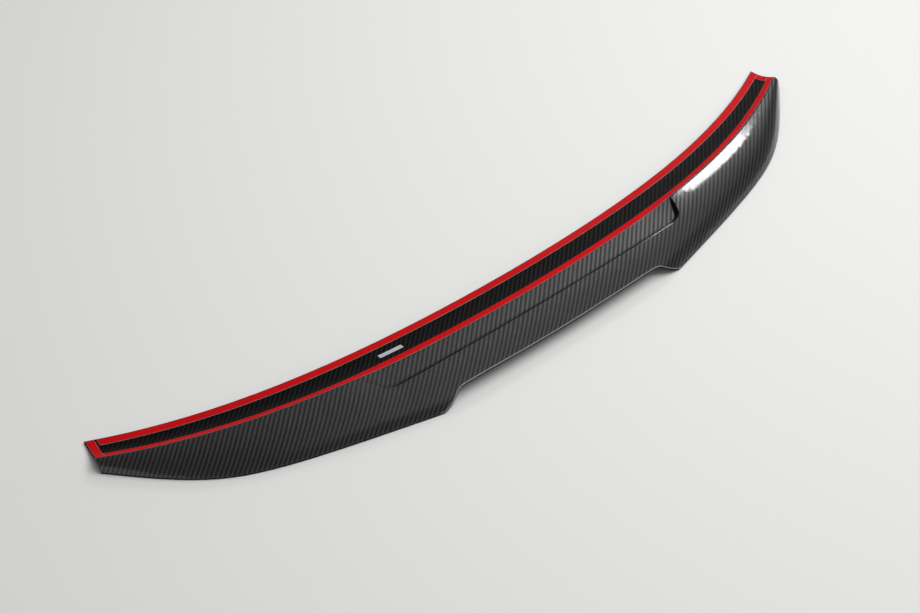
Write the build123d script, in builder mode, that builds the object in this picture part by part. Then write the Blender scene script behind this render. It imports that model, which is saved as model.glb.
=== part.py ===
from build123d import *
from math import atan2, cos, hypot, pi, radians, sin, tan
import os

# Boot-lid rear spoiler, lying upside down as it is unpacked: the bonding strip faces up, the rear face
# looks towards -Y and the trailing lip is on the floor. X runs along the span. All sizes in millimetres.

# Plan of the bonding strip, seen from above
half_span = 602.0
front_mid_y = 6.8
front_sweep = 118.4
sweep_share = 0.655
strip_width_mid = 55.6
strip_width_end = 46.3
end_rake = 7.0

# Heights of the bonding strip above the floor
front_mid_z = 21.7
front_fall = 19.0
ridge_rise_mid = 15.3
ridge_rise_end = 14.1
trough_angle_front = -2.0
trough_angle_ridge = 33.5

# The strip lies flatter beside the recessed panel, and eases into that form over a short length
panel_drop = 3.4
panel_trough_angle = 12.5
ease_start = 230.0
ease_length = 70.0

# Trailing lip in plan: two straight runs with a soft corner between them
lip_corner_inset = 104.0
lip_corner_y = -27.7
lip_slope_inner = 0.235
lip_slope_outer = 1.096
lip_corner_round = 72.0
lip_mid_y = -132.7
lip_thickness = 3.0

# Rear face and the skin that faces the floor
face_rise_angle = 3.0
face_lip_angle = 60.0
face_ridge_pull = 0.7
face_lip_pull = 0.6
skin_lip_angle = 42.0
skin_front_angle = 3.0
skin_lip_pull = 0.28
skin_front_pull = 0.4
leading_edge = 2.0

# Recessed panel on the rear face
panel_half_front = 274.0
panel_half_rear = 257.0
panel_rear_y = -68.9
panel_bow = 7.3
panel_depth = 2.2
panel_front_depth = 0.35
panel_ramp = 3.2
panel_end_ramp = 6.0
panel_corner_run = 26.144

# Notch in the middle of the lip, where the edge runs higher above the floor
notch_half_top = 176.0
notch_half_floor = 214.0
notch_y = -112.2
notch_bow = 4.8
notch_edge = 3.2
notch_round = 5.0
notch_sink = 0.3
notch_blend_y = -30.2
notch_blend_drop = 3.0

# Mounting tape, its release film and the label
tape_width = 10.5
foam_thickness = 0.9
liner_thickness = 0.35
liner_inset = 0.2
tape_front_margin = 1.3
tape_rear_margin = 1.9
tape_end_margin = 1.6
tape_gap = 0.3
front_tape_start_gap = 3.0
label_length = 35.0
label_width = 7.0
label_share = -0.350498
label_place = 0.516
label_thickness = 0.25

# Construction: how far cutters and blanks run past the faces that they trim
overrun = 4.0
cutter_reach = 60.0
seat_depth = 0.6
liner_seat = 0.4
span_steps = 40
panel_steps = 16
notch_steps = 40


def share(x):
    """Square of the distance from the middle, 0 there and 1 at the end."""
    return (x / half_span) ** 2


def flattened(x):
    """How far the strip has its flatter form: 1 beside the panel, 0 near the ends."""
    u = (ease_start + ease_length - abs(x)) / ease_length
    u = min(max(u, 0.0), 1.0)
    return u * u * (3 - 2 * u)


def front_point(x):
    """Front edge of the strip, as y and z."""
    t = share(x)
    y = front_mid_y + front_sweep * (sweep_share * t + (1 - sweep_share) * t * t)
    return Vector(y, front_mid_z - front_fall * t)


def ridge_point(x):
    """Ridge between the strip and the rear face, as y and z."""
    front = front_point(x)
    s = abs(x) / half_span
    width = strip_width_mid + (strip_width_end - strip_width_mid) * s**3
    rise = ridge_rise_mid + (ridge_rise_end - ridge_rise_mid) * s**4
    return Vector(front.X - width, front.Y + rise - panel_drop * flattened(x))


def front_y(x):
    return front_point(x).X


def ridge_y(x):
    return ridge_point(x).X


def strip_curve(x):
    """Control points of the concave bonding strip, from the front edge to the ridge."""
    front = front_point(x)
    ridge = ridge_point(x)
    third = (front.X - ridge.X) / 3
    angle = trough_angle_ridge + (panel_trough_angle - trough_angle_ridge) * flattened(x)
    after_front = front + Vector(-third, third * tan(radians(trough_angle_front)))
    before_ridge = ridge + Vector(third, -third * tan(radians(angle)))
    return [front, after_front, before_ridge, ridge]


def lip_y(x):
    """Plan line of the lip, carried on across the middle where the notch is cut."""
    mean_slope = (lip_slope_outer + lip_slope_inner) / 2
    half_turn = (lip_slope_outer - lip_slope_inner) / 2
    from_corner = max(abs(x), notch_half_floor) - (half_span - lip_corner_inset)
    reach = hypot(from_corner, lip_corner_round)
    y = lip_corner_y + mean_slope * from_corner + half_turn * (reach - lip_corner_round)
    if abs(x) < notch_half_floor:
        rise = y - lip_mid_y
        lean = (mean_slope + half_turn * from_corner / reach) * notch_half_floor / 2
        s = (x / notch_half_floor) ** 2
        y = lip_mid_y + (2 * rise - lean) * s + (lean - rise) * s * s
    return y


def face_curve(x):
    """Control points of the convex rear face, from the ridge to the top of the lip."""
    ridge = ridge_point(x)
    lip = Vector(lip_y(x), lip_thickness)
    pull = face_ridge_pull * (ridge.X - lip.X)
    rise = pull * tan(radians(face_rise_angle)) + panel_drop * flattened(x)
    height = face_lip_pull * (ridge.Y - lip.Y)
    before_lip = lip + Vector(height / tan(radians(face_lip_angle)), height)
    return [ridge, ridge + Vector(-pull, rise), before_lip, lip]


def skin_curve(x):
    """Control points of the arched skin that faces the floor, from the lip to the leading edge."""
    foot = Vector(lip_y(x), 0)
    edge = front_point(x) - Vector(0, leading_edge)
    chord = edge.X - foot.X
    pull = skin_lip_pull * chord
    after_foot = foot + Vector(pull * cos(radians(skin_lip_angle)), pull * sin(radians(skin_lip_angle)))
    pull = skin_front_pull * chord
    before_edge = edge + Vector(-pull, pull * tan(radians(skin_front_angle)))
    return [foot, after_foot, before_edge, edge]


def point_on(curve, u):
    """Point of a section curve, u from 0 to 1."""
    v = 1 - u
    return curve[0] * v**3 + curve[1] * (3 * v * v * u) + curve[2] * (3 * v * u * u) + curve[3] * u**3


def parameter_where(curve, passed):
    """Parameter at which a section curve passes a limit, found by halving."""
    low, high = 0.0, 1.0
    for _ in range(40):
        middle = (low + high) / 2
        if passed(point_on(curve, middle)):
            high = middle
        else:
            low = middle
    return high


def height_at(curve, y):
    """Height of a section curve that runs towards -Y, at a given y."""
    return point_on(curve, parameter_where(curve, lambda point: point.X < y)).Y


def piece_of(curve, y_from, y_to):
    """Control points of the stretch of the strip curve between two places in y."""
    u = parameter_where(curve, lambda point: point.X < y_from)
    w = parameter_where(curve, lambda point: point.X < y_to)
    start = point_on(curve, u)
    end = point_on(curve, w)

    def lean(at):
        v = 1 - at
        side = (curve[1] - curve[0]) * v * v + (curve[2] - curve[1]) * (2 * v * at)
        return side + (curve[3] - curve[2]) * at * at

    return [start, start + lean(u) * (w - u), end - lean(w) * (w - u), end]


def spread(reach, steps):
    """Evenly spaced places along X on both sides of the middle."""
    return [reach * (2 * k / steps - 1) for k in range(steps + 1)]


def end_plane(side, inset):
    """Raked plane at one end of the spoiler, facing outwards."""
    rake = radians(end_rake)
    origin = (side * (half_span - inset), ridge_y(half_span), 0)
    return Plane(origin=origin, z_dir=(side * cos(rake), sin(rake), 0))


def panel_line(x):
    """Rear edge of the recessed panel in plan."""
    return panel_rear_y - panel_bow * (1 - (x / panel_half_rear) ** 2)


def panel_end_plane(side):
    """Sloping end of the recessed panel, facing outwards and down."""
    near_y = ridge_y(panel_half_front)
    near = Vector(side * panel_half_front, near_y, height_at(face_curve(panel_half_front), near_y))
    rear_z = height_at(face_curve(panel_half_rear), panel_rear_y)
    rear = Vector(side * panel_half_rear, panel_rear_y, rear_z)
    foot = near - Vector(side * panel_end_ramp, 0, panel_depth)
    normal = (rear - near).cross(foot - near) * side
    return Plane(origin=near, z_dir=normal)


def panel_corner_radius():
    """Radius that rounds a rear corner of the panel over a given run of its end."""
    lean = atan2(panel_half_front - panel_half_rear, ridge_y(panel_half_front) - panel_rear_y)
    return panel_corner_run * tan((pi / 2 + lean) / 2)


def nearest_edge(face, plane):
    """Edge of a face that lies in a plane."""
    return face.edges().sort_by(lambda edge: abs(plane.to_local_coords(edge.center()).Z))[0]


# Cutter for the recessed panel: a shallow floor that runs out through the ridge, with sloping rear and ends
with BuildPart() as panel_cutter:
    panel_reach = max(panel_half_front, panel_half_rear) + panel_end_ramp + overrun
    for x in spread(panel_reach, panel_steps):
        rear_y = panel_line(x)
        rear = Vector(rear_y, height_at(face_curve(x), rear_y))
        floor_rear = rear + Vector(panel_ramp, -panel_depth)
        floor_ridge = ridge_point(x) - Vector(0, panel_front_depth)
        floor_lean = (floor_ridge.Y - floor_rear.Y) / (floor_ridge.X - floor_rear.X)
        floor_front = floor_ridge + Vector(overrun, overrun * floor_lean)
        past = rear + Vector(-panel_ramp, panel_depth) * (cutter_reach / panel_ramp)
        with BuildSketch(Plane.YZ.offset(x)):
            with BuildLine():
                Polyline((floor_front.X, floor_front.Y), (floor_rear.X, floor_rear.Y), (past.X, past.Y),
                         (floor_front.X, past.Y), close=True)
            make_face()
    loft()
    for side in (-1, 1):
        split(bisect_by=panel_end_plane(side), keep=Keep.BOTTOM)
    rear_slope = panel_cutter.faces().sort_by(lambda face: face.normal_at().Y)[0]
    corners = [nearest_edge(rear_slope, panel_end_plane(side)) for side in (-1, 1)]
    fillet(corners, panel_corner_radius())


def notch_height(x):
    """Height of the lip edge across the notch: level in the middle, then sloping down to the floor."""
    edge_y = notch_y - notch_bow * (1 - min(abs(x) / notch_half_top, 1) ** 2)
    level = height_at(face_curve(x), edge_y)
    run = notch_half_floor - notch_half_top
    inward = notch_half_floor - abs(x)
    ramp = (hypot(inward, notch_round) - hypot(inward - run, notch_round) + run) / (2 * run)
    return level * ramp - notch_sink


# Cutter for the notch: an upright wall along the lip edge, and a roof that is the skin below it
with BuildPart() as notch_cutter:
    notch_reach = notch_half_floor + notch_round * 4
    for x in spread(notch_reach, notch_steps):
        face = face_curve(x)
        edge_z = notch_height(x)
        edge_y = point_on(face, parameter_where(face, lambda point: point.Y < edge_z)).X
        if edge_z < lip_thickness:
            edge_y -= (lip_thickness - edge_z) / tan(radians(face_lip_angle))
        roof_z = edge_z - notch_edge
        blend_z = height_at(skin_curve(x)[::-1], notch_blend_y)
        third = (notch_blend_y - edge_y) / 3
        floor_z = -cutter_reach
        far_y = edge_y - cutter_reach
        with BuildSketch(Plane.YZ.offset(x)):
            with BuildLine():
                Bezier((edge_y, roof_z), (edge_y + third, roof_z + third * tan(radians(skin_front_angle))),
                       (notch_blend_y - third, blend_z), (notch_blend_y, blend_z - notch_blend_drop))
                Polyline((notch_blend_y, blend_z - notch_blend_drop), (notch_blend_y, floor_z),
                         (far_y, floor_z), (far_y, cutter_reach), (edge_y, cutter_reach), (edge_y, roof_z))
            make_face()
    loft()

# The moulding: sections along the span, then the panel, the notch and the raked ends
span_stations = spread(half_span + overrun, span_steps)
with BuildPart() as spoiler_body:
    for x in span_stations:
        edge = front_point(x)
        with BuildSketch(Plane.YZ.offset(x)):
            with BuildLine():
                for curve in (strip_curve(x), face_curve(x), skin_curve(x)):
                    Bezier(*[(point.X, point.Y) for point in curve])
                Line((lip_y(x), 0), (lip_y(x), lip_thickness))
                Line((edge.X, edge.Y - leading_edge), (edge.X, edge.Y))
            make_face()
    loft()
    add(panel_cutter.part, mode=Mode.SUBTRACT)
    add(notch_cutter.part, mode=Mode.SUBTRACT)
    for side in (-1, 1):
        split(bisect_by=end_plane(side, 0), keep=Keep.BOTTOM)


def stretch(line, x):
    """Length along a plan line for each millimetre along X."""
    return hypot(1, (line(x + 1) - line(x - 1)) / 2)


def across(x, outer, width):
    """Other edge of a tape of the given width, measured along the strip's slope."""
    curve = strip_curve(x)
    inner = outer + width
    for _ in range(5):
        slope = (height_at(curve, inner) - height_at(curve, outer)) / (inner - outer)
        inner = outer + width / hypot(1, slope)
    return inner


def front_band(x):
    """Front and rear y of the tape along the front edge."""
    along = stretch(front_y, x)
    outer = front_y(x) - tape_front_margin * along
    return outer, across(x, outer, -tape_width * along)


def rear_band(x):
    """Front and rear y of the tape along the ridge."""
    along = stretch(ridge_y, x)
    outer = ridge_y(x) + tape_rear_margin * along
    return across(x, outer, tape_width * along), outer


def whole_band(x):
    """Front and rear y of a tape that crosses the strip."""
    return front_band(x)[0], rear_band(x)[1]


def between_band(x):
    """Front and rear y of a tape that fits between the two long ones."""
    return front_band(x)[1] - tape_gap, rear_band(x)[0] + tape_gap


def label_band(x):
    """Front and rear y of the label."""
    middle = front_y(x) + (ridge_y(x) - front_y(x)) * label_place
    half = label_width / 2 * stretch(front_y, x)
    return middle + half, middle - half


def slab_section(x, band, inset, bottom, top):
    """Section of a thin layer on the strip, between two heights above its surface."""
    front, rear = band(x)
    curve = piece_of(strip_curve(x), front - inset, rear + inset)
    with BuildSketch(Plane.YZ.offset(x)) as section:
        with BuildLine():
            for height in (bottom, top):
                Bezier(*[(point.X, point.Y + height) for point in curve])
            for point in (curve[0], curve[3]):
                Line((point.X, point.Y + bottom), (point.X, point.Y + top))
        make_face()
    return section.sketch


def tape_and_liner(xs, band, trims):
    """Foam tape seated on the strip and the release film on top of it, trimmed by planes."""
    film_top = foam_thickness + liner_thickness
    with BuildPart() as foam:
        loft([slab_section(x, band, 0, -seat_depth, foam_thickness) for x in xs])
        for trim in trims:
            split(bisect_by=trim, keep=Keep.BOTTOM)
        add(spoiler_body.part, mode=Mode.SUBTRACT)
    with BuildPart() as film:
        loft([slab_section(x, band, liner_inset, foam_thickness - liner_seat, film_top) for x in xs])
        for trim in trims:
            split(bisect_by=trim.offset(-liner_inset), keep=Keep.BOTTOM)
        add(foam.part, mode=Mode.SUBTRACT)
    return foam, film


def facing_in(plane):
    return Plane(origin=plane.origin, x_dir=plane.x_dir, z_dir=-plane.z_dir)


# Long tapes along the two edges of the strip
tape_end = tape_end_margin + tape_width
right_trim = end_plane(1, tape_end_margin)
front_trims = [end_plane(-1, tape_end + front_tape_start_gap), right_trim]
front_tape, front_liner = tape_and_liner(span_stations, front_band, front_trims)
rear_trims = [end_plane(-1, tape_end + tape_gap), right_trim]
rear_tape, rear_liner = tape_and_liner(span_stations, rear_band, rear_trims)

# Short tapes across the ends: the left one spans the strip, the right one fits between the long tapes
end_stations = [half_span - tape_end - strip_width_end / 4, half_span + overrun]
left_trims = [end_plane(-1, tape_end_margin), facing_in(end_plane(-1, tape_end))]
left_end_tape, left_end_liner = tape_and_liner([-x for x in reversed(end_stations)], whole_band, left_trims)
right_trims = [right_trim, facing_in(end_plane(1, tape_end))]
right_end_tape, right_end_liner = tape_and_liner(end_stations, between_band, right_trims)

# Small label between the tapes
with BuildPart() as label:
    label_x = label_share * half_span
    label_stations = (label_x - label_length / 2, label_x, label_x + label_length / 2)
    loft([slab_section(x, label_band, 0, -seat_depth, label_thickness) for x in label_stations])
    add(spoiler_body.part, mode=Mode.SUBTRACT)

# One file for each piece
os.makedirs("parts", exist_ok=True)
pieces = {
    "spoiler_body": spoiler_body,
    "front_tape": front_tape,
    "rear_tape": rear_tape,
    "left_end_tape": left_end_tape,
    "right_end_tape": right_end_tape,
    "front_liner": front_liner,
    "rear_liner": rear_liner,
    "left_end_liner": left_end_liner,
    "right_end_liner": right_end_liner,
    "label": label,
}
for name, piece in pieces.items():
    piece.part.label = name
    export_step(piece.part, f"parts/{name}.step")
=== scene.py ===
from collections import namedtuple
from math import radians

import bmesh
import bpy
from bpy.props import FloatProperty, FloatVectorProperty, PointerProperty
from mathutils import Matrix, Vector


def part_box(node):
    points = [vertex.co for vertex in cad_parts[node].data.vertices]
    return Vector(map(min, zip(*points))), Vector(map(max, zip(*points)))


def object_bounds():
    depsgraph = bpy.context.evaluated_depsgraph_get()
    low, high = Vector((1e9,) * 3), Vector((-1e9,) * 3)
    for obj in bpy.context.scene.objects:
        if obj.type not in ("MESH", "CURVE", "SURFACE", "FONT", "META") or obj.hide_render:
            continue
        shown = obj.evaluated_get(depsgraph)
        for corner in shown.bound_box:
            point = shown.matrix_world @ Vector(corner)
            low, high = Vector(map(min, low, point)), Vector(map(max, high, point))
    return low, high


bl_info = {
    "name": "Boot-lid spoiler",
    "version": (1, 0, 0),
    "blender": (4, 5, 0),
    "location": "View3D > Sidebar > Spoiler",
    "description": "Finishes for a woven carbon boot-lid spoiler with mounting tape, and its studio stage",
    "category": "Object",
}

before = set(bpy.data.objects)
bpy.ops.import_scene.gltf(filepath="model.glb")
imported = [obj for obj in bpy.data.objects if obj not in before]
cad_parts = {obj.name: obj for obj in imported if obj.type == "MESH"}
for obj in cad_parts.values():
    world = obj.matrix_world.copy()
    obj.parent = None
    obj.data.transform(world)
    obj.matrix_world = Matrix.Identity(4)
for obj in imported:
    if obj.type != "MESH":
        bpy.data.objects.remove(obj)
cad_low, cad_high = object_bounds()
half_span = cad_high.x
rear_tape_low, rear_tape_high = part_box("rear_tape")

FOAM_TAPES = ("front_tape", "rear_tape", "left_end_tape", "right_end_tape")
RELEASE_FILMS = ("front_liner", "rear_liner", "left_end_liner", "right_end_liner")

# Lengths are in metres. Crests from which the cloth is laid, above and below: height in the middle, and fall
# to the ends
RIDGE_HEIGHT = 0.035
RIDGE_FALL = 0.017
ARCH_HEIGHT = 0.0197
ARCH_FALL = 0.0145

# How soon the cloth follows a slope, and how much a slope adds to the length along the chord
SLOPE_GAIN = 4.0
SLOPE_STRETCH = 0.55

# Twill: shift between the two sets of tows, the round backs of the tows, and the softness of a crossing
WEFT_SHIFT = 3.0
BACK_POWER = 3.0
BACK_HEIGHT = 0.6
CROSSING_SOFTNESS = 0.15

# Line under the rear tape, at which the finish of the bonding strip ends
TAPE_SWEEP_SHARE = 0.64
TAPE_PLAN_WIDTH = 0.012
TAPE_LINE_INSET = 0.004

# Cloth: relief, roughness, and how much darker and rougher it is on the bonding strip
WEAVE_BUMP = 0.3
CLOTH_ROUGHNESS = 0.38
STRIP_EXTRA_ROUGHNESS = 0.12
STRIP_DARKENING = 0.6
BLACK = (0.0, 0.0, 0.0)

# Dark, dull places: cut edges by the upward part of their normal (partly their bare finish, partly painted
# shade), then the panel's walls by the lean of theirs (painted shade)
CUT_EDGE_UPWARD = (0.3, 0.12)
WALL_LEAN = (0.22, 0.38)
WALL_FORWARD_SHARE = 0.8
PANEL_HALF_LENGTH = 0.285

# Inner corners of the panel, which get painted shade: how far around is looked at, and how open a place is
# before and in a corner
CORNER_DISTANCE = 0.006
CORNER_OPENNESS = (0.985, 0.91)

# Painted highlight along the rim of the notch: how far the rounded normal turns away there, how much the face
# beside it points up, and where the notch is
RIM_TURN = (0.997, 0.98)
RIM_UPWARD = 0.3
NOTCH_HALF_LENGTH = 0.213
NOTCH_FRONT = -0.1

# Rays that each look-round in a material takes
LOOK_ROUND_SAMPLES = 8

# Fine grain: scale of its clouds against its cells, and the detail of both
CLOUD_SCALE = 0.08
CLOUD_DETAIL = 3.0
CELL_DETAIL = 2.0

# Stocks of the tape and the label: size of the grain, which part of it shades the colour, the darkest and
# the lightest shade, strength and depth of the bump, and roughness
Stock = namedtuple("Stock", "grain_size shaded_by darkest lightest bump depth roughness")
FILM_STOCK = Stock(0.004, "Mask", 0.82, 1.15, 0.15, 0.0003, 0.5)
FOAM_STOCK = Stock(0.0006, "Height", 0.85, 1.1, 0.4, 0.0002, 0.8)
LABEL_STOCK = Stock(0.001, "Mask", 0.9, 1.1, 0.2, 0.0001, 0.45)
FILM_SPECULAR = 0.06

# Stage: floor, soft lights, and the limits of the band of light in the world
FLOOR_HALF_WIDTH = 8.0
FLOOR_ROUGHNESS = 0.85
FLOOR_SPECULAR = 0.1
PanelLight = namedtuple("PanelLight", "name shape place_at aim_at size")
FILL_LIGHT = PanelLight("fill", "RECTANGLE", (1.0, -0.3, 2.3), (0.1, 0.0, 0.0), (2.2, 2.2))
WINDOW_LIGHT = PanelLight("window", "ELLIPSE", (2.212, 1.531, 1.877), (0.42, -0.01, 0.03), (0.72, 0.4))
BAND_SKEW = -0.25
BAND_RISE = (-0.08, 0.35)
BAND_FALL = (0.68, 0.85)
BAND_HEIGHT = (0.3, 0.58)
SENSOR_WIDTH = 36.0

# Colour sockets of the Mix node
MIX_FIRST = 6
MIX_SECOND = 7
MIX_RESULT = 2


class SpoilerCarbonSettings(bpy.types.PropertyGroup):
    """Sizes and colours of the carbon moulding"""
    tow_width: FloatProperty(
        name="Tow width", description="Width of one flat bundle of fibres in the weave",
        default=0.0021, min=0.0005, unit="LENGTH", subtype="DISTANCE")
    tow_relief: FloatProperty(
        name="Tow relief", description="Height of the weave under the clear coat",
        default=0.00035, min=0.0, unit="LENGTH", subtype="DISTANCE")
    warp_colour: FloatVectorProperty(
        name="Warp", description="Colour of the tows that run along the chord",
        default=(0.062, 0.062, 0.063), size=3, min=0.0, max=1.0, subtype="COLOR")
    weft_colour: FloatVectorProperty(
        name="Weft", description="Colour of the tows that run along the span",
        default=(0.005, 0.005, 0.0055), size=3, min=0.0, max=1.0, subtype="COLOR")
    coat_roughness: FloatProperty(
        name="Coat roughness", description="Roughness of the clear coat",
        default=0.1, min=0.0, max=1.0, subtype="FACTOR")
    strip_coat: FloatProperty(
        name="Coat on the strip", description="How much clear coat there is on the strip and in dull places",
        default=0.03, min=0.0, max=1.0, subtype="FACTOR")
    edge_radius: FloatProperty(
        name="Edge radius", description="Rounding of the coated edges that shows as a fine line of light",
        default=0.003, min=0.0, unit="LENGTH", subtype="DISTANCE")
    # Painted highlight: the notch rim colour is a light line that stands for the light caught by a rounded
    # edge. There is no bead of resin.
    rim_highlight_colour: FloatVectorProperty(
        name="Notch rim", description="Colour of the polished bead of resin along the edge of the notch",
        default=(0.55, 0.55, 0.56), size=3, min=0.0, max=1.0, subtype="COLOR")


class SpoilerTapeSettings(bpy.types.PropertyGroup):
    """Colours of the mounting tape, its films and the label"""
    film_colour: FloatVectorProperty(
        name="Film", description="Colour of the release film",
        default=(0.52, 0.004, 0.006), size=3, min=0.0, max=1.0, subtype="COLOR")
    foam_colour: FloatVectorProperty(
        name="Foam", description="Colour of the foam at the sides of the tape",
        default=(0.55, 0.52, 0.50), size=3, min=0.0, max=1.0, subtype="COLOR")
    label_colour: FloatVectorProperty(
        name="Label", description="Colour of the bare label",
        default=(0.48, 0.49, 0.52), size=3, min=0.0, max=1.0, subtype="COLOR")


class SpoilerStageSettings(bpy.types.PropertyGroup):
    """Floor, light and camera"""
    floor_colour: FloatVectorProperty(
        name="Floor", description="Colour of the floor",
        default=(0.78, 0.78, 0.77), size=3, min=0.0, max=1.0, subtype="COLOR")
    room_light: FloatProperty(
        name="Room light", description="Strength of the soft light from all round",
        default=0.26, min=0.0)
    overhead_light: FloatProperty(
        name="Overhead light", description="Extra strength of the broad band of light above and to the right",
        default=0.5, min=0.0)
    fill_power: FloatProperty(
        name="Fill power", description="Power of the wide panel overhead, which gloss doesn't mirror",
        default=45.0, min=0.0, unit="POWER")
    window_power: FloatProperty(
        name="Window power", description="Power of the softbox that shows as a bright streak",
        default=13.5, min=0.0, unit="POWER")
    camera_place: FloatVectorProperty(
        name="Camera", description="Place of the camera",
        default=(-0.97865, -1.1345, 1.5924), size=3, unit="LENGTH", subtype="TRANSLATION")
    camera_tilt: FloatProperty(
        name="Tilt", description="Angle of the camera up from straight down",
        default=radians(42.5), unit="ROTATION", subtype="ANGLE")
    camera_turn: FloatProperty(
        name="Turn", description="Turn of the camera about the upright axis",
        default=radians(-38.2), unit="ROTATION", subtype="ANGLE")
    camera_lens: FloatProperty(
        name="Lens", description="Focal length of the camera in millimetres",
        default=61.7, min=1.0)


def place(tree, kind, **settings):
    """Adds a node and sets its properties."""
    node = tree.nodes.new(kind)
    for name, value in settings.items():
        setattr(node, name, value)
    return node


def feed(tree, socket, value):
    """Links a socket, or sets its value."""
    if isinstance(value, bpy.types.NodeSocket):
        tree.links.new(value, socket)
    else:
        socket.default_value = value


def calc(tree, operation, *values):
    """Adds a Math node and returns its result."""
    node = place(tree, "ShaderNodeMath", operation=operation)
    for socket, value in zip(node.inputs, values):
        feed(tree, socket, value)
    return node.outputs["Value"]


def ease(tree, value, limits, low=0.0, high=1.0):
    """Adds a smooth Map Range node and returns its result, low at the first limit and high at the second."""
    node = place(tree, "ShaderNodeMapRange", interpolation_type="SMOOTHSTEP")
    feed(tree, node.inputs["Value"], value)
    feed(tree, node.inputs["From Min"], limits[0])
    feed(tree, node.inputs["From Max"], limits[1])
    feed(tree, node.inputs["To Min"], low)
    feed(tree, node.inputs["To Max"], high)
    return node.outputs["Result"]


def axes(tree, vector):
    """Splits a vector into its X, Y and Z."""
    node = place(tree, "ShaderNodeSeparateXYZ")
    tree.links.new(vector, node.inputs[0])
    return node.outputs["X"], node.outputs["Y"], node.outputs["Z"]


def blend(tree, factor, first, second):
    """Adds a colour Mix node and returns its result."""
    node = place(tree, "ShaderNodeMix", data_type="RGBA")
    feed(tree, node.inputs["Factor"], factor)
    feed(tree, node.inputs[MIX_FIRST], first)
    feed(tree, node.inputs[MIX_SECOND], second)
    return node.outputs[MIX_RESULT]


def opaque(colour):
    """A colour with its alpha."""
    return (*colour, 1.0)


def raise_bump(tree, shader, height, strength, depth):
    """Gives a shader a bumped normal."""
    bump = place(tree, "ShaderNodeBump")
    feed(tree, bump.inputs["Strength"], strength)
    feed(tree, bump.inputs["Distance"], depth)
    tree.links.new(height, bump.inputs["Height"])
    tree.links.new(bump.outputs["Normal"], shader.inputs["Normal"])


def new_material(name):
    """A material with only a Principled shader and its output."""
    material = bpy.data.materials.new(name)
    material.use_nodes = True
    tree = material.node_tree
    tree.nodes.clear()
    shader = place(tree, "ShaderNodeBsdfPrincipled")
    output = place(tree, "ShaderNodeOutputMaterial")
    tree.links.new(shader.outputs["BSDF"], output.inputs["Surface"])
    return material, tree, shader


def new_group(name, takes, gives):
    """A shader node group with number sockets, its input node and its output node."""
    tree = bpy.data.node_groups.new(name, "ShaderNodeTree")
    for way, sockets in (("INPUT", takes), ("OUTPUT", gives)):
        for socket in sockets:
            tree.interface.new_socket(socket, in_out=way, socket_type="NodeSocketFloat")
    return tree, place(tree, "NodeGroupInput"), place(tree, "NodeGroupOutput")


def fine_grain_group():
    """Shared group: a fine even grain, as a mask for colour and a height for bump."""
    if "Fine grain" in bpy.data.node_groups:
        return bpy.data.node_groups["Fine grain"]
    tree, entry, leave = new_group("Fine grain", ("Size",), ("Mask", "Height"))
    where = place(tree, "ShaderNodeTexCoord").outputs["Object"]
    cell_scale = calc(tree, "DIVIDE", 1.0, entry.outputs["Size"])
    cloud_scale = calc(tree, "MULTIPLY", cell_scale, CLOUD_SCALE)
    for scale, detail, result in ((cloud_scale, CLOUD_DETAIL, "Mask"), (cell_scale, CELL_DETAIL, "Height")):
        noise = place(tree, "ShaderNodeTexNoise")
        feed(tree, noise.inputs["Vector"], where)
        feed(tree, noise.inputs["Scale"], scale)
        feed(tree, noise.inputs["Detail"], detail)
        tree.links.new(noise.outputs["Fac"], leave.inputs[result])
    return tree


def twill_group():
    """Group for a two-by-two twill: which tow is on top, and the height of the cloth."""
    if "Twill weave" in bpy.data.node_groups:
        return bpy.data.node_groups["Twill weave"]
    tree, entry, leave = new_group("Twill weave", ("Along span", "Along chord"), ("Warp", "Height"))
    span = entry.outputs["Along span"]
    chord = entry.outputs["Along chord"]
    warp_number = calc(tree, "FLOOR", span)
    weft_number = calc(tree, "FLOOR", chord)

    def tow_height(run, number, shift, side):
        """Height of one set of tows: a wave along each tow and a round back across it."""
        away = calc(tree, "SUBTRACT", calc(tree, "SUBTRACT", run, number), shift)
        wave = calc(tree, "COSINE", calc(tree, "MULTIPLY", away, radians(90)))
        off = calc(tree, "ABSOLUTE", calc(tree, "SUBTRACT", calc(tree, "FRACT", side), 0.5))
        fall = calc(tree, "POWER", calc(tree, "MULTIPLY", off, 2.0), BACK_POWER)
        back = calc(tree, "SUBTRACT", 1.0, fall)
        return calc(tree, "ADD", wave, calc(tree, "MULTIPLY", back, BACK_HEIGHT))

    warp = tow_height(chord, warp_number, 0.0, span)
    weft = tow_height(span, weft_number, WEFT_SHIFT, chord)
    on_top = ease(tree, calc(tree, "SUBTRACT", warp, weft), (-CROSSING_SOFTNESS, CROSSING_SOFTNESS))
    tree.links.new(on_top, leave.inputs["Warp"])
    tree.links.new(calc(tree, "MAXIMUM", warp, weft), leave.inputs["Height"])
    return tree


# Sockets that say where a point of the moulding is, which way it faces, and if it is on the upper skin
Spot = namedtuple("Spot", "x y z normal normal_x normal_y normal_z upper")


def surface_spot(tree):
    """Place and normal of the point that is shaded."""
    x, y, z = axes(tree, place(tree, "ShaderNodeTexCoord").outputs["Object"])
    normal = place(tree, "ShaderNodeNewGeometry").outputs["Normal"]
    normal_x, normal_y, normal_z = axes(tree, normal)
    upper = calc(tree, "GREATER_THAN", normal_z, 0.0)
    return Spot(x, y, z, normal, normal_x, normal_y, normal_z, upper)


def span_square(tree, x):
    """Square of the distance from the middle, 0 there and 1 at the ends."""
    return calc(tree, "POWER", calc(tree, "DIVIDE", x, half_span), 2.0)


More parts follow.
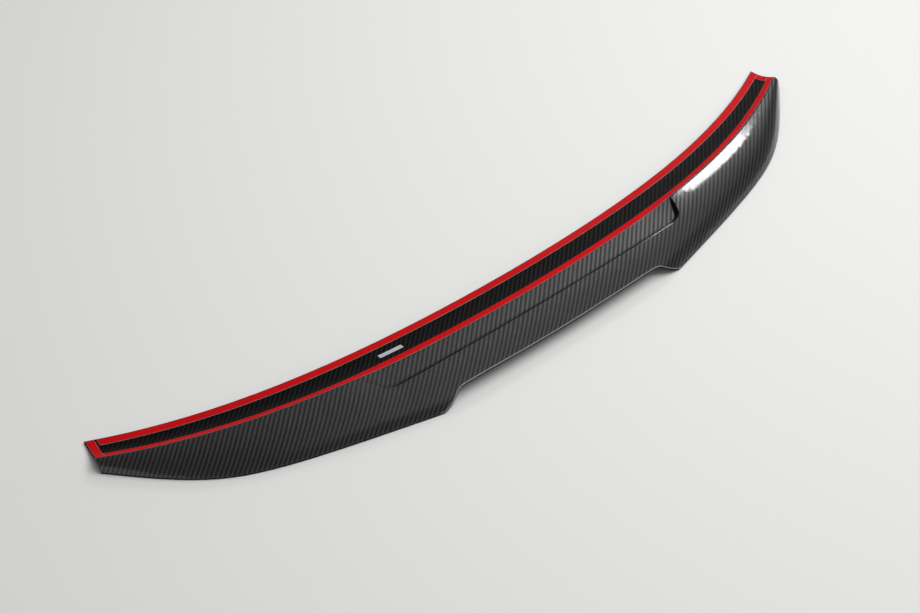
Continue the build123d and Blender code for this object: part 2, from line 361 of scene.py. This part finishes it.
def chord_place(tree, spot):
    """Place along the chord, measured down the slope where the surface leans to the rear."""
    outwards = span_square(tree, spot.x)
    ridge = calc(tree, "SUBTRACT", RIDGE_HEIGHT, calc(tree, "MULTIPLY", outwards, RIDGE_FALL))
    arch = calc(tree, "SUBTRACT", ARCH_HEIGHT, calc(tree, "MULTIPLY", outwards, ARCH_FALL))
    crest = calc(tree, "ADD", calc(tree, "MULTIPLY", spot.upper, ridge),
                 calc(tree, "MULTIPLY", calc(tree, "SUBTRACT", 1.0, spot.upper), arch))
    lean = calc(tree, "MULTIPLY", spot.normal_y, calc(tree, "SIGN", spot.normal_z))
    lean = calc(tree, "MINIMUM", calc(tree, "MULTIPLY", lean, -SLOPE_GAIN), 1.0)
    lean = calc(tree, "MAXIMUM", lean, 0.0)
    drop = calc(tree, "MULTIPLY", lean, calc(tree, "SUBTRACT", spot.z, crest))
    return calc(tree, "ADD", spot.y, calc(tree, "MULTIPLY", drop, SLOPE_STRETCH))


def strip_mask(tree, spot):
    """1 on the bonding strip, 0 on the rest. The change lies under the rear tape."""
    sweep = span_square(tree, spot.x)
    bend = calc(tree, "MULTIPLY_ADD", sweep, 1.0 - TAPE_SWEEP_SHARE, TAPE_SWEEP_SHARE)
    sweep = calc(tree, "MULTIPLY", sweep, bend)
    reach = rear_tape_high.y - rear_tape_low.y - TAPE_PLAN_WIDTH
    tape_line = calc(tree, "MULTIPLY_ADD", sweep, reach, rear_tape_low.y + TAPE_LINE_INSET)
    return calc(tree, "MULTIPLY", calc(tree, "GREATER_THAN", spot.y, tape_line), spot.upper)


def dull_and_painted_shade_mask(tree, spot, strip):
    """1 on cut edges, on the panel's rear and right walls and in its inner corners, 0 on the rest. It marks
    painted shade: wholly on the walls and in the corners, and partly on the cut edges, beside their bare
    finish.
    """
    cut_edge = ease(tree, calc(tree, "ABSOLUTE", spot.normal_z), CUT_EDGE_UPWARD)
    forwards = calc(tree, "MULTIPLY", spot.normal_y, WALL_FORWARD_SHARE)
    wall = ease(tree, calc(tree, "SUBTRACT", forwards, spot.normal_x), WALL_LEAN)
    around = place(tree, "ShaderNodeAmbientOcclusion", samples=LOOK_ROUND_SAMPLES, only_local=True)
    feed(tree, around.inputs["Distance"], CORNER_DISTANCE)
    corner = ease(tree, around.outputs["AO"], CORNER_OPENNESS)
    near_panel = calc(tree, "LESS_THAN", calc(tree, "ABSOLUTE", spot.x), PANEL_HALF_LENGTH)
    near_panel = calc(tree, "MULTIPLY", near_panel, calc(tree, "SUBTRACT", spot.upper, strip))
    panel = calc(tree, "MULTIPLY", calc(tree, "MAXIMUM", wall, corner), near_panel)
    return calc(tree, "MAXIMUM", cut_edge, panel)


def rim_highlight_mask(tree, spot, rounded):
    """1 along the upper edge of the notch, where the rounded normal turns away, 0 on the rest. It places a
    painted highlight.
    """
    turn = place(tree, "ShaderNodeVectorMath", operation="DOT_PRODUCT")
    tree.links.new(rounded, turn.inputs[0])
    tree.links.new(spot.normal, turn.inputs[1])
    rim = ease(tree, turn.outputs["Value"], RIM_TURN)
    notch = calc(tree, "LESS_THAN", calc(tree, "ABSOLUTE", spot.x), NOTCH_HALF_LENGTH)
    notch = calc(tree, "MULTIPLY", notch, calc(tree, "LESS_THAN", spot.y, NOTCH_FRONT))
    notch = calc(tree, "MULTIPLY", notch, calc(tree, "GREATER_THAN", spot.normal_z, RIM_UPWARD))
    return calc(tree, "MULTIPLY", rim, notch)


def carbon_material(settings):
    """Woven carbon under a clear coat. The cloth follows the slope of the surface along the chord."""
    material, tree, shader = new_material("carbon_twill")
    spot = surface_spot(tree)
    weave = place(tree, "ShaderNodeGroup", node_tree=twill_group())
    feed(tree, weave.inputs["Along span"], calc(tree, "DIVIDE", spot.x, settings.tow_width))
    feed(tree, weave.inputs["Along chord"], calc(tree, "DIVIDE", chord_place(tree, spot), settings.tow_width))
    edges = place(tree, "ShaderNodeBevel", samples=LOOK_ROUND_SAMPLES)
    feed(tree, edges.inputs["Radius"], settings.edge_radius)
    strip = strip_mask(tree, spot)
    dull_and_painted_shade = dull_and_painted_shade_mask(tree, spot, strip)
    rim = rim_highlight_mask(tree, spot, edges.outputs["Normal"])

    cloth = blend(tree, weave.outputs["Warp"], opaque(settings.weft_colour), opaque(settings.warp_colour))
    cloth = blend(tree, calc(tree, "MULTIPLY", strip, STRIP_DARKENING), cloth, opaque(BLACK))
    # Painted shade: the cut edges, the panel's rear and right walls and its inner corners take the dark weft
    # colour. On the cut edges this is partly their bare finish.
    cloth = blend(tree, dull_and_painted_shade, cloth, opaque(settings.weft_colour))
    # Painted highlight: a light line of colour along the upper edge of the notch, for the light that its
    # rounded edge catches.
    cloth = blend(tree, rim, cloth, opaque(settings.rim_highlight_colour))
    tree.links.new(cloth, shader.inputs["Base Color"])
    shader.inputs["Metallic"].default_value = 1.0
    roughness = calc(tree, "MULTIPLY_ADD", strip, STRIP_EXTRA_ROUGHNESS, CLOTH_ROUGHNESS)
    tree.links.new(roughness, shader.inputs["Roughness"])
    raise_bump(tree, shader, weave.outputs["Height"], WEAVE_BUMP, settings.tow_relief)

    bare = calc(tree, "MAXIMUM", strip, dull_and_painted_shade)
    coat = calc(tree, "MULTIPLY_ADD", bare, settings.strip_coat - 1.0, 1.0)
    tree.links.new(coat, shader.inputs["Coat Weight"])
    shader.inputs["Coat Roughness"].default_value = settings.coat_roughness
    tree.links.new(edges.outputs["Normal"], shader.inputs["Coat Normal"])
    return material


def stock_material(name, stock, colour):
    """A stock of one colour with a fine grain in its shade and its surface."""
    material, tree, shader = new_material(name)
    grain = place(tree, "ShaderNodeGroup", node_tree=fine_grain_group())
    feed(tree, grain.inputs["Size"], stock.grain_size)
    darkest = Vector(colour) * stock.darkest
    lightest = Vector(colour) * stock.lightest
    shade = blend(tree, grain.outputs[stock.shaded_by], opaque(darkest), opaque(lightest))
    tree.links.new(shade, shader.inputs["Base Color"])
    raise_bump(tree, shader, grain.outputs["Height"], stock.bump, stock.depth)
    shader.inputs["Roughness"].default_value = stock.roughness
    return material, shader


def film_material(settings):
    """Red release film: smooth, with faint cloudiness and slight ripple."""
    material, shader = stock_material("release_film", FILM_STOCK, settings.film_colour)
    shader.inputs["Specular IOR Level"].default_value = FILM_SPECULAR
    return material


def foam_material(settings):
    """Pale foam with fine cells."""
    return stock_material("tape_foam", FOAM_STOCK, settings.foam_colour)[0]


def label_material(settings):
    """Bare silver-grey label stock."""
    return stock_material("label_stock", LABEL_STOCK, settings.label_colour)[0]


def give_material(names, material):
    """Puts one material on CAD nodes."""
    for name in names:
        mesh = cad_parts[name].data
        mesh.materials.clear()
        mesh.materials.append(material)


class SPOILER_OT_carbon_body(bpy.types.Operator):
    """Give the moulding its woven carbon and clear coat"""
    bl_idname = "spoiler.carbon_body"
    bl_label = "Finish the body"

    def execute(self, context):
        give_material(["spoiler_body"], carbon_material(context.scene.spoiler_carbon))
        return {"FINISHED"}


class SPOILER_OT_mounting_tape(bpy.types.Operator):
    """Give the tapes their foam and their red release film"""
    bl_idname = "spoiler.mounting_tape"
    bl_label = "Finish the tape"

    def execute(self, context):
        settings = context.scene.spoiler_tape
        give_material(FOAM_TAPES, foam_material(settings))
        give_material(RELEASE_FILMS, film_material(settings))
        return {"FINISHED"}


class SPOILER_OT_label(bpy.types.Operator):
    """Give the small label its bare silver-grey stock"""
    bl_idname = "spoiler.label"
    bl_label = "Finish the label"

    def execute(self, context):
        give_material(["label"], label_material(context.scene.spoiler_tape))
        return {"FINISHED"}


def add_panel_light(panel, power):
    """A flat soft light that faces a point."""
    lamp = bpy.data.lights.new(panel.name, "AREA")
    lamp.shape = panel.shape
    lamp.size, lamp.size_y = panel.size
    lamp.energy = power
    light = bpy.data.objects.new(panel.name, lamp)
    bpy.context.scene.collection.objects.link(light)
    light.location = panel.place_at
    towards = Vector(panel.aim_at) - Vector(panel.place_at)
    light.rotation_euler = towards.to_track_quat("-Z", "Y").to_euler()
    return light


def light_room(tree, settings):
    """World light: soft all round, with a broad band above and to the right."""
    x, y, z = axes(tree, place(tree, "ShaderNodeTexCoord").outputs["Generated"])
    rise = ease(tree, calc(tree, "MULTIPLY_ADD", y, BAND_SKEW, x), BAND_RISE)
    fall = ease(tree, x, BAND_FALL, settings.overhead_light, 0.0)
    high = ease(tree, z, BAND_HEIGHT)
    band = calc(tree, "MULTIPLY", rise, fall)
    light = calc(tree, "MULTIPLY_ADD", band, high, settings.room_light)
    room = tree.nodes["Background"]
    room.inputs["Color"].default_value = (1.0, 1.0, 1.0, 1.0)
    tree.links.new(light, room.inputs["Strength"])


class SPOILER_OT_stage(bpy.types.Operator):
    """Add the floor, the soft lights and the camera"""
    bl_idname = "spoiler.stage"
    bl_label = "Set the stage"

    def execute(self, context):
        scene = context.scene
        settings = scene.spoiler_stage
        floor_mesh = bpy.data.meshes.new("floor")
        shape = bmesh.new()
        bmesh.ops.create_grid(shape, x_segments=1, y_segments=1, size=FLOOR_HALF_WIDTH)
        shape.to_mesh(floor_mesh)
        shape.free()
        floor = bpy.data.objects.new("floor", floor_mesh)
        scene.collection.objects.link(floor)
        paint, _, shader = new_material("floor_paint")
        shader.inputs["Base Color"].default_value = opaque(settings.floor_colour)
        shader.inputs["Roughness"].default_value = FLOOR_ROUGHNESS
        shader.inputs["Specular IOR Level"].default_value = FLOOR_SPECULAR
        floor_mesh.materials.append(paint)

        scene.world = bpy.data.worlds.new("room")
        scene.world.use_nodes = True
        light_room(scene.world.node_tree, settings)
        fill = add_panel_light(FILL_LIGHT, settings.fill_power)
        fill.visible_glossy = False
        add_panel_light(WINDOW_LIGHT, settings.window_power)

        lens = bpy.data.cameras.new("camera")
        lens.lens = settings.camera_lens
        lens.sensor_width = SENSOR_WIDTH
        camera = bpy.data.objects.new("camera", lens)
        scene.collection.objects.link(camera)
        camera.location = settings.camera_place
        camera.rotation_euler = (settings.camera_tilt, 0.0, settings.camera_turn)
        scene.camera = camera
        scene.view_settings.view_transform = "Standard"
        return {"FINISHED"}


class SPOILER_PT_panel(bpy.types.Panel):
    """Steps and settings of the spoiler's finish"""
    bl_idname = "SPOILER_PT_panel"
    bl_label = "Boot-lid spoiler"
    bl_space_type = "VIEW_3D"
    bl_region_type = "UI"
    bl_category = "Spoiler"

    def draw(self, context):
        scene = context.scene
        for operator, settings in (
            (SPOILER_OT_carbon_body, scene.spoiler_carbon),
            (SPOILER_OT_mounting_tape, scene.spoiler_tape),
            (SPOILER_OT_label, None),
            (SPOILER_OT_stage, scene.spoiler_stage),
        ):
            box = self.layout.box()
            box.operator(operator.bl_idname)
            if settings:
                for name in settings.bl_rna.properties.keys():
                    if name not in ("rna_type", "name"):
                        box.prop(settings, name)


CLASSES = (
    SpoilerCarbonSettings,
    SpoilerTapeSettings,
    SpoilerStageSettings,
    SPOILER_OT_carbon_body,
    SPOILER_OT_mounting_tape,
    SPOILER_OT_label,
    SPOILER_OT_stage,
    SPOILER_PT_panel,
)


def register():
    for each in CLASSES:
        bpy.utils.register_class(each)
    bpy.types.Scene.spoiler_carbon = PointerProperty(type=SpoilerCarbonSettings)
    bpy.types.Scene.spoiler_tape = PointerProperty(type=SpoilerTapeSettings)
    bpy.types.Scene.spoiler_stage = PointerProperty(type=SpoilerStageSettings)


def unregister():
    del bpy.types.Scene.spoiler_carbon
    del bpy.types.Scene.spoiler_tape
    del bpy.types.Scene.spoiler_stage
    for each in reversed(CLASSES):
        bpy.utils.unregister_class(each)


def main():
    register()
    bpy.ops.spoiler.carbon_body()
    bpy.ops.spoiler.mounting_tape()
    bpy.ops.spoiler.label()
    bpy.ops.spoiler.stage()


if __name__ == "__main__":
    main()
